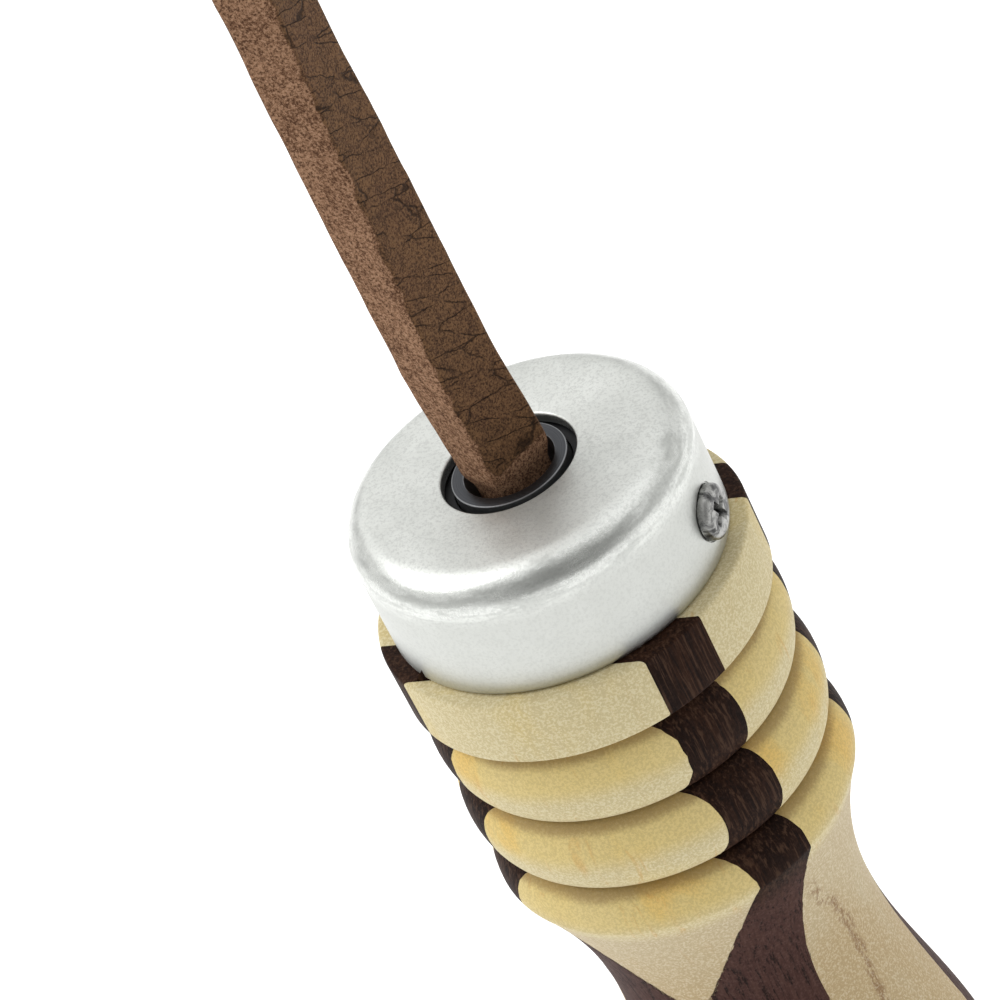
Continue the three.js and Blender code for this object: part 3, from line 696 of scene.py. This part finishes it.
def cap():
    hole = BEARING_HIGH.x - 2.0 * MM
    seat = BEARING_HIGH.x + 0.1 * MM
    socket = TENON_RADIUS + 0.2 * MM
    lip, web = CAP_TOP - 1.2 * MM, BEARING_LOW.z - 0.1 * MM
    rounding, edge, foot = 3.6 * MM, 0.25 * MM, 0.7 * MM
    outline = [
        (socket, SHOULDER),
        *arc((CAP_RADIUS - foot, SHOULDER + foot), (foot, foot), -90, 0, 5),
        *arc((CAP_RADIUS - rounding, CAP_TOP - rounding), (rounding, rounding), 0, 90, 14),
        *arc((hole + edge, CAP_TOP - edge), (edge, edge), 90, 180, 3),
        (hole, lip),
        (seat, lip),
        (seat, web),
        (socket, web),
        (socket, SHOULDER),
    ]
    shell = turn("cap_shell", outline, 160)
    for node in ("cap_screw_right", "cap_screw_left"):
        low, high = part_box(node)
        side = math.copysign(1, low.x + high.x)
        height = (low.z + high.z) / 2
        face = side * (CAP_RADIUS - 0.3 * MM)
        past = side * (CAP_RADIUS + 2 * MM)
        cut_with(shell, rod("hole", SCREW_HOLE_RADIUS, (0.6 * face, 0, height), (past, 0, height)))
        cut_with(shell, rod("spot", SPOT_FACE_RADIUS, (face, 0, height), (past, 0, height)))
    done(shell, satin_aluminium(), "bearing_cap")


def screws():
    low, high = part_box("cap_screw_right")
    head, shank, core = (high.z - low.z) / 2, 1.5 * MM, 1.15 * MM
    under = CAP_RADIUS - 0.25 * MM
    rise, length = high.x - under, under - low.x
    thread = []
    pitch = 0.8 * MM
    turns = int((length - 3 * MM) / pitch)
    for i in range(turns):
        height = -length + 2 * MM + i * pitch
        thread += [(core, height), (shank, height + pitch * 0.45), (shank, height + pitch * 0.55)]
    outline = [
        (0.12 * MM, -length),
        *thread,
        (core, -length + 2 * MM + turns * pitch),
        (shank, -0.6 * MM),
        (shank, 0),
        (head - 0.15 * MM, 0),
        (head, 0.15 * MM),
        *arc((head - 0.9 * MM, rise - 0.75 * MM), (0.85 * MM, 0.68 * MM), 0, 84, 8),
        (head * 0.35, rise - 0.02 * MM),
    ]
    blank = turn("screw_blank", outline, 64)
    for angle in (0, 90):
        deselect()
        bpy.ops.mesh.primitive_cube_add(size=1)
        wing = bpy.context.object
        edit(wing)
        bpy.ops.transform.resize(value=(4.6 * MM, 1.15 * MM, 2.6 * MM))
        bpy.ops.object.mode_set(mode="OBJECT")
        for vertex in wing.data.vertices:
            if vertex.co.z < 0:
                vertex.co.x *= 0.45
                vertex.co.y *= 0.6
        spin = Matrix.Rotation(math.radians(angle + RECESS_TURN), 4, "Z")
        move(wing, Matrix.Translation((0, 0, rise)) @ spin)
        cut_with(blank, wing)
    soften(blank, 0.08 * MM, 2, 45)
    steel = worn_steel("worn_plated_steel", (0.40, 0.40, 0.385), (0.060, 0.060, 0.060), 1.3, 0.2)
    height = (low.z + high.z) / 2
    for node, side in (("cap_screw_right", 1), ("cap_screw_left", -1)):
        tip_over = Matrix.Rotation(side * math.pi / 2, 4, "Y")
        lay = Matrix.Translation((side * under, 0, height)) @ tip_over
        done(copy_of(blank, f"fitted_{node}", lay), steel, node, angle=30)
    remove(blank)
    return steel


# ---- Bearing ----
def ring_outline(inside, outside, bottom, top, edge):
    """A square section with softened corners, run anticlockwise from its lower inner corner."""
    corners = (
        (outside - edge, bottom + edge, -90),
        (outside - edge, top - edge, 0),
        (inside + edge, top - edge, 90),
        (inside + edge, bottom + edge, 180),
    )
    points = []
    for radius, height, start in corners:
        points += arc((radius, height), (edge, edge), start, start + 90, 3)
    return [*points, points[0]]


def bearing(steel):
    inside, rim = BEARING_BORE_RADIUS, INNER_RING[1].x
    outside = BEARING_HIGH.x
    circle = (inside + outside) / 2
    race = RACE_RADIUS * MM
    outer_inside = outside - (rim - inside)
    shoulder_angle = math.degrees(math.acos((outer_inside - circle) / race))
    low, high, edge = BEARING_LOW.z, BEARING_HIGH.z, 0.12 * MM
    # Painted highlights run along the inner ring's outer rim and its bore edge.
    glint_rims = (rim - edge / 2, inside)
    ring_steel = ground_steel("dark_ground_steel", (0.055, 0.057, 0.062), 0.3, glint_rims)
    inner = [
        *arc((rim - edge, low + edge), (edge, edge), -90, 0, 3),
        *arc((circle, BALL_MIDDLE), (race, race), 180 + shoulder_angle, 180 - shoulder_angle, 14),
        *arc((rim - edge, INNER_RING[1].z - edge), (edge, edge), 0, 90, 3),
        *arc((inside + edge, INNER_RING[1].z - edge), (edge, edge), 90, 180, 3),
        *arc((inside + edge, low + edge), (edge, edge), 180, 270, 3),
    ]
    done(turn("inner_race", [*inner, inner[0]], 128), ring_steel, "bearing_inner_ring", angle=30)
    step, step_radius = 0.65 * MM, outer_inside + 0.2 * MM
    outer = [
        *arc((outside - edge, low + edge), (edge, edge), -90, 0, 3),
        *arc((outside - edge, high - edge), (edge, edge), 0, 90, 3),
        (step_radius, high),
        (step_radius, high - step),
        (outer_inside, high - step),
        *arc((circle, BALL_MIDDLE), (race, race), shoulder_angle, -shoulder_angle, 14),
        (outer_inside, low + step),
        (step_radius, low + step),
        (step_radius, low),
    ]
    done(turn("outer_race", [*outer, outer[0]], 128), ring_steel, "bearing_outer_ring", angle=30)
    black = black_shield()
    for node in ("upper_shield", "lower_shield"):
        bottom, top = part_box(node)
        outline = ring_outline(rim + 0.15 * MM, top.x, bottom.z, top.z, 0.08 * MM)
        done(turn(f"pressed_{node}", outline, 128), black, node)
    balls_and_cage(circle)
    wide = ring_outline(4.45 * MM, WASHER[1].x, WASHER[0].z, WASHER[1].z, 0.1 * MM)
    done(turn("flat_washer", wide, 96), steel, "strap_washer")


def balls_and_cage(circle):
    bright = worn_steel("polished_ball_steel", (0.68, 0.68, 0.70), (0.6, 0.6, 0.62), 0.8, 0.08)
    count = sum(node.startswith("ball_") and node != "ball_cage" for node in frame["nodes"])
    low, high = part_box("ball_cage")
    outline = ring_outline(circle - 0.6 * MM, circle + 0.6 * MM, low.z, high.z, 0.15 * MM)
    cage = turn("pressed_cage", outline, 132)
    deselect()
    bpy.ops.mesh.primitive_ico_sphere_add(subdivisions=4, radius=BALL_RADIUS * MM)
    ball = bpy.context.object
    for index in range(count):
        turned = Matrix.Rotation(2 * math.pi * index / count, 4, "Z")
        place = turned @ Matrix.Translation((circle, 0, BALL_MIDDLE))
        cut_with(cage, copy_of(ball, "pocket", place @ Matrix.Scale(RACE_RADIUS / BALL_RADIUS, 4)))
        done(copy_of(ball, f"polished_ball_{index + 1}", place), bright, f"ball_{index + 1}")
    remove(ball)
    brass = ground_steel("pressed_cage_steel", (0.36, 0.33, 0.27), 0.3)
    done(cage, brass, "ball_cage")


# ---- Strap ----
def smooth_share(value, low, high):
    share = min(1.0, max(0.0, (value - low) / (high - low)))
    return share * share * (3 - 2 * share)


def twist_at(height):
    share = min(1.0, max(0.0, (height - CAP_TOP + 10 * MM) / (FLEX - CAP_TOP - 4 * MM)))
    return TWIST_FROM + (TWIST_TO - TWIST_FROM) * share ** 1.25


def pin_way():
    """The way the cross pin points, across the strap's tail."""
    angle = twist_at(STRAP_BOTTOM)
    return Vector((math.cos(angle), math.sin(angle), 0))


def strap_half_width(height):
    widen = smooth_share(height, FLEX + 6 * MM, FLEX + 18 * MM)
    half = STRAP_WIDTH / 2 + (TIP_HALF - STRAP_WIDTH / 2) * widen
    past = height - (TIP_HIGH.z - TIP_HALF)
    return half if past <= 0 else math.sqrt(max(TIP_HALF**2 - past**2, (0.3 * MM) ** 2))


def strap_thickness_range(height):
    """Low and high limits of the strap's thickness. The flesh side is skived under the flap."""
    skive = smooth_share(height, FLEX + 2.5 * MM, FLEX + 16 * MM)
    return -STRAP_THICKNESS / 2 + (STRAP_THICKNESS - TIP_SKIVED) * skive, STRAP_THICKNESS / 2


def rounded_section(share, half_wide, low, high, corner):
    """A point on a rounded rectangle. Share runs round it once, from the middle of a corner."""
    quarter = int(share * 4) % 4
    along = share * 4 - int(share * 4)
    signs = ((1, 1), (-1, 1), (-1, -1), (1, -1))
    curve = 0.45

    def corner_point(index, angle):
        sx, sy = signs[index % 4]
        cx = sx * (half_wide - corner)
        cy = (high - corner) if sy > 0 else (low + corner)
        turned = math.radians(45 + 90 * index + angle)
        return Vector((cx + corner * math.cos(turned), cy + corner * math.sin(turned)))

    if along < curve / 2:
        return corner_point(quarter, along / (curve / 2) * 45)
    if along > 1 - curve / 2:
        return corner_point(quarter + 1, (along - 1) / (curve / 2) * 45)
    share_side = (along - curve / 2) / (1 - curve)
    return corner_point(quarter, 45).lerp(corner_point(quarter + 1, -45), share_side)


def strap_bow(height):
    """How far the limp strap strays from the axis between the bearing and the flap."""
    stray = smooth_share(height, CAP_TOP, CAP_TOP + 16 * MM)
    stray *= 1 - smooth_share(height, FLEX - 110 * MM, FLEX - 20 * MM)
    return STRAP_STRAY * MM * stray


def strap():
    around, levels = 64, 420
    deselect()
    bpy.ops.mesh.primitive_grid_add(x_subdivisions=around, y_subdivisions=levels, size=1)
    piece = bpy.context.object
    piece.name = "long_strap"
    mesh = piece.data
    mesh.attributes.new("strap_place", "FLOAT_VECTOR", "POINT")
    mesh.attributes.new("cut_edge", "FLOAT", "POINT")
    flat, cut_edge = mesh.attributes["strap_place"], mesh.attributes["cut_edge"]
    arch = TIP_HIGH.z - TIP_HALF
    for vertex in mesh.vertices:
        share = (vertex.co.x + 0.5) % 1.0
        level = vertex.co.y + 0.5
        height = STRAP_BOTTOM + (TIP_HIGH.z - STRAP_BOTTOM) * level
        if height > arch:
            height = arch + TIP_HALF * math.sin(math.pi / 2 * (height - arch) / TIP_HALF)
        low, high = strap_thickness_range(height)
        half = strap_half_width(height)
        corner = min(STRAP_CORNER, half * 0.9, (high - low) * 0.3)
        point = rounded_section(share, half, low, high, corner)
        wide, thick = point
        wander = noise.noise(Vector((wide * 90, thick * 90, height * 130)))
        chip = noise.noise(Vector((wide * 260, thick * 260, height * 420)))
        at_corner = smooth_share(abs(wide), half - 1.2 * MM, half) * smooth_share(
            abs(thick - (low + high) / 2), (high - low) / 2 - 1.2 * MM, (high - low) / 2
        )
        grow = 1 + (wander * 0.012 + chip * 0.008) - at_corner * max(0.0, wander) * 0.07
        full = smooth_share(height, BEARING_HIGH.z, TRIM_TOP + wander * MM)
        trim = TAIL_SHARE + (1 - TAIL_SHARE) * full
        turn_by = twist_at(height)
        bow = strap_bow(height)
        x, y = thick * trim * grow, wide * trim * grow
        flat.data[vertex.index].vector = Vector((thick, wide, height)) / MM
        from_corner = (half - abs(wide)) - ((high - low) / 2 - abs(thick - (low + high) / 2))
        skived = 1 - smooth_share(height, TRIM_TOP + 0.2 * MM, TRIM_TOP + 1.2 * MM)
        cut_edge.data[vertex.index].value = max(
            0.5 - 0.5 * max(-1.0, min(1.0, from_corner / (1.1 * MM))), 0.8 * skived
        )
        vertex.co = (
            bow.x + x * math.cos(turn_by) - y * math.sin(turn_by),
            bow.y + x * math.sin(turn_by) + y * math.cos(turn_by),
            height,
        )
    edit(piece)
    bpy.ops.mesh.remove_doubles(threshold=1e-6)
    bpy.ops.mesh.select_all(action="DESELECT")
    bpy.ops.mesh.select_mode(type="EDGE")
    bpy.ops.mesh.select_non_manifold()
    bpy.ops.mesh.fill_holes(sides=0)
    bpy.ops.mesh.select_mode(type="VERT")
    close_edit(1e-6)
    for place in rivet_places():
        start, end = Vector(place), Vector(place)
        start.y, end.y = -0.01, 0.01
        cut_with(piece, rod("hole", RIVET_HOLE_RADIUS, start, end, 24))
    pin_low, pin_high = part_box("strap_pin")
    middle = (pin_low + pin_high) / 2
    along = pin_way()
    cut_with(piece, rod("hole", PIN_HOLE_RADIUS, middle - along * 0.01, middle + along * 0.01, 32))
    FLEX - 16 * MM
    FLEX + 16 * MM
    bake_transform(piece)
    done(piece, leather("strap_leather", "strap_place"), "leather_strap", "strap_tip", angle=50)


def pin(steel):
    low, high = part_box("strap_pin")
    middle = (low + high) / 2
    along = pin_way() * 6 * MM
    piece = rod("cross_pin", PIN_RADIUS, middle - along, middle + along, 40)
    soften(piece, 0.25 * MM, 3)
    done(piece, steel, "strap_pin")


# ---- Head ----
def rivet_places():
    return [((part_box(f"rivet_{i}")[0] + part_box(f"rivet_{i}")[1]) / 2) for i in (1, 2, 3)]


def flap_half_width(height):
    share = (height - FLAP_LOW.z) / (FLAP_HIGH.z - FLAP_LOW.z)
    return (FLAP_NECK_WIDTH + (FLAP_END_WIDTH - FLAP_NECK_WIDTH) * share) * MM / 2


def flap():
    deselect()
    bpy.ops.mesh.primitive_plane_add(size=1)
    piece = bpy.context.object
    piece.name = "punched_flap"
    front, back = FLAP_LOW.y, FLAP_HIGH.y
    for vertex in piece.data.vertices:
        height = FLAP_LOW.z if vertex.co.y < 0 else FLAP_HIGH.z
        side = math.copysign(flap_half_width(height), vertex.co.x)
        vertex.co = (side, front, height)
    edit(piece)
    bpy.ops.mesh.bevel(offset=13 * MM, segments=14, affect="VERTICES")
    bpy.ops.mesh.select_all(action="SELECT")
    bpy.ops.mesh.extrude_region_move(TRANSFORM_OT_translate={"value": (0, back - front, 0)})
    close_edit()
    for face_y in (front, back):
        crease_border(piece, face_y)
    punch(piece)
    bow(piece)
    done(piece, leather("flap_leather", None), "leather_flap", angle=40)


def crease_border(piece, face_y):
    """Presses a tooled line along the edge of one face of the flap."""
    pick(piece)
    for polygon in piece.data.polygons:
        polygon.select = abs(polygon.center.y - face_y) < 1e-6 and polygon.area > 1e-3
    for vertex in piece.data.vertices:
        vertex.select = False
    for edge in piece.data.edges:
        edge.select = False
    bpy.ops.object.mode_set(mode="EDIT")
    bpy.ops.mesh.select_mode(type="FACE")
    inward = 1 if face_y < (FLAP_LOW.y + FLAP_HIGH.y) / 2 else -1
    for width, press in ((3.4, 0), (0.3, 0.28), (0.3, 0), (0.3, -0.28)):
        bpy.ops.mesh.inset(thickness=width * MM)
        if press:
            bpy.ops.transform.translate(value=(0, inward * press * MM, 0))
    bpy.ops.mesh.select_mode(type="VERT")
    bpy.ops.object.mode_set(mode="OBJECT")


def air_holes():
    """Centres of the punched holes: staggered rows, clear of the edges and of the strap's tip."""
    pitch, corner = 11 * MM, 14 * MM
    margin, tip_margin = AIR_HOLE_RADIUS + 7 * MM, AIR_HOLE_RADIUS + 2 * MM
    places = []
    height, row = FLAP_HIGH.z - margin, 0
    while height > FLAP_LOW.z:
        for column in range(-5, 6):
            x = (column + (0.5 if row % 2 else 0)) * pitch
            from_side = flap_half_width(height) - abs(x)
            from_end = min(height - FLAP_LOW.z, FLAP_HIGH.z - height)
            if from_side < corner and from_end < corner:
                inside = math.hypot(corner - from_side, corner - from_end) <= corner - margin
            else:
                inside = min(from_side, from_end) >= margin
            over_tip = abs(x) < TIP_HALF + tip_margin and height < TIP_HIGH.z + tip_margin
            if inside and not over_tip:
                places.append((x, height))
        row += 1
        height = FLAP_HIGH.z - margin - row * pitch * math.sqrt(3) / 2
    return places


def punch(piece):
    wanted = [(x, z, AIR_HOLE_RADIUS, 28) for x, z in air_holes()]
    wanted += [(place.x, place.z, RIVET_HOLE_RADIUS, 24) for place in rivet_places()]
    punches = [
        rod("punch", radius, (x, -PUNCH_REACH, z), (x, PUNCH_REACH, z), sides)
        for x, z, radius, sides in wanted
    ]
    pick(punches[0])
    for one in punches:
        one.select_set(True)
    bpy.ops.object.join()
    cut_with(piece, punches[0])
    soften(piece, 0.28 * MM, 3, 50)


def bow(piece):
    """Lets the free end of the flap bow back a little, as thick leather sets."""
    edit(piece)
    start = TIP_HIGH.z
    for step in range(1, 24):
        bpy.ops.mesh.select_all(action="SELECT")
        height = start + (FLAP_HIGH.z - start) * step / 24
        bpy.ops.mesh.bisect(plane_co=(0, 0, height), plane_no=(0, 0, 1))
    close_edit()
    cut_edge = piece.data.attributes.new("cut_edge", "FLOAT", "POINT")
    middle = (FLAP_LOW.y + FLAP_HIGH.y) / 2
    half = (FLAP_HIGH.y - FLAP_LOW.y) / 2
    for vertex in piece.data.vertices:
        inner = abs(vertex.co.y - middle) < half - 0.35 * MM
        cut_edge.data[vertex.index].value = 1.0 if inner else 0.0
        past = max(0.0, vertex.co.z - start) / (FLAP_HIGH.z - start)
        vertex.co.y += FLAP_BOW * past * past


def rivets():
    copper = hammered_copper()
    for index, place in enumerate(rivet_places(), start=1):
        low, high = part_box(f"rivet_{index}")
        burr_low, burr_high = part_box(f"rivet_burr_{index}")
        head = high.x - place.x
        seat, peened = FLAP_LOW.y, burr_high.y
        outline = [
            (0.2 * MM, low.y),
            *arc((head * 0.35, low.y + 0.65 * MM), (head * 0.65, 0.65 * MM), -90, 0, 8),
            (head, seat),
            (RIVET_RADIUS, seat),
            (RIVET_RADIUS, peened + 0.05 * MM),
            (2.2 * MM, peened + 0.05 * MM),
            *arc((1.3 * MM, peened + 0.25 * MM), (0.9 * MM, high.y - peened - 0.25 * MM), 0, 82, 6),
        ]
        lay = Matrix.Translation((place.x, 0, place.z)) @ Matrix.Rotation(-math.pi / 2, 4, "X")
        shank = turn("rivet_blank", outline, 56)
        done(move(shank, lay), copper, f"rivet_{index}")
        shank.name = f"peened_rivet_{index}"
        ring = ring_outline(1.62 * MM, burr_high.x - place.x, burr_low.y, burr_high.y, 0.2 * MM)
        done(move(turn(f"seated_burr_{index}", ring, 56), lay), copper, f"rivet_burr_{index}")


# ---- Stage ----
DIM_WALL = (0.5, -0.77, 0.4)  # the way from the cap toward the dim side of the room


def stage():
    deselect()
    bpy.ops.mesh.primitive_plane_add(size=9, location=(0, 0, -0.2 * MM))
    floor = bpy.context.object
    floor.name = "pale_floor"
    finish = Finish("pale_floor")
    cloud = finish.noise(finish.place(), 900, 2, 0.5)
    color = finish.mix(cloud, (0.90, 0.90, 0.90), (0.93, 0.93, 0.93))
    floor.data.materials.append(
        finish.surface(
            Base_Color=color, Roughness=0.9, Emission_Color=(1, 1, 1, 1), Emission_Strength=0.35
        )
    )
    world = bpy.data.worlds.new("studio")
    world.use_nodes = True
    sky = Finish("studio_walls", world.node_tree)
    away = sky.node("ShaderNodeTexCoord", output=0)
    facing = sky.node(
        "ShaderNodeVectorMath", {"operation": "DOT_PRODUCT"}, [away, DIM_WALL], output=1
    )
    height = sky.axis(away, 2)
    walls = sky.mix(height.between(0.62, 0.80), (0.86, 0.86, 0.855), (1.2, 1.2, 1.2))
    walls = sky.mix(facing.between(0.46, 0.93), walls, (0.36, 0.36, 0.355))
    glow = sky.node("ShaderNodeBackground", values={"Color": walls, "Strength": 1.0})
    sky.node("ShaderNodeOutputWorld", values=[glow])
    bpy.context.scene.world = world
    bpy.context.scene.view_settings.view_transform = "Standard"


def softbox(name, azimuth, elevation, distance, size, power, aim):
    light = bpy.data.lights.new(name, "AREA")
    light.shape, light.size, light.energy = "DISK", size, power
    lamp = bpy.data.objects.new(name, light)
    bpy.context.scene.collection.objects.link(lamp)
    a, e = math.radians(azimuth), math.radians(elevation)
    away = Vector((math.sin(a) * math.cos(e), -math.cos(a) * math.cos(e), math.sin(e)))
    lamp.location = aim + away * distance
    lamp.rotation_euler = away.to_track_quat("Z", "Y").to_euler()


def camera():
    azimuth, elevation, roll = math.radians(33), math.radians(35.5), math.radians(27.1)
    distance = 0.409
    back = Vector(
        (
            math.sin(azimuth) * math.cos(elevation),
            -math.cos(azimuth) * math.cos(elevation),
            math.sin(elevation),
        )
    )
    level = Vector((math.cos(azimuth), math.sin(azimuth), 0))
    upright = back.cross(level)
    right = level * math.cos(roll) - upright * math.sin(roll)
    up = level * math.sin(roll) + upright * math.cos(roll)
    aim = Vector((0, 0, CAP_TOP)) - right * 0.8 * MM - up * 3.85 * MM
    data = bpy.data.cameras.new("camera")
    data.lens, data.sensor_width = 144, 36
    data.clip_start = 0.01
    eye = bpy.data.objects.new("camera", data)
    bpy.context.scene.collection.objects.link(eye)
    turned = Matrix((right, up, back)).transposed().to_4x4()
    eye.matrix_world = Matrix.Translation(aim + back * distance) @ turned
    bpy.context.scene.camera = eye


camera()
stage()
AIM = Vector((0, 0, CAP_TOP))
softbox("key", -78, 52, 1.3, 0.9, 6.4, AIM)

handle()
cap()
plated = screws()
bearing(plated)
strap()
pin(plated)
flap()
rivets()
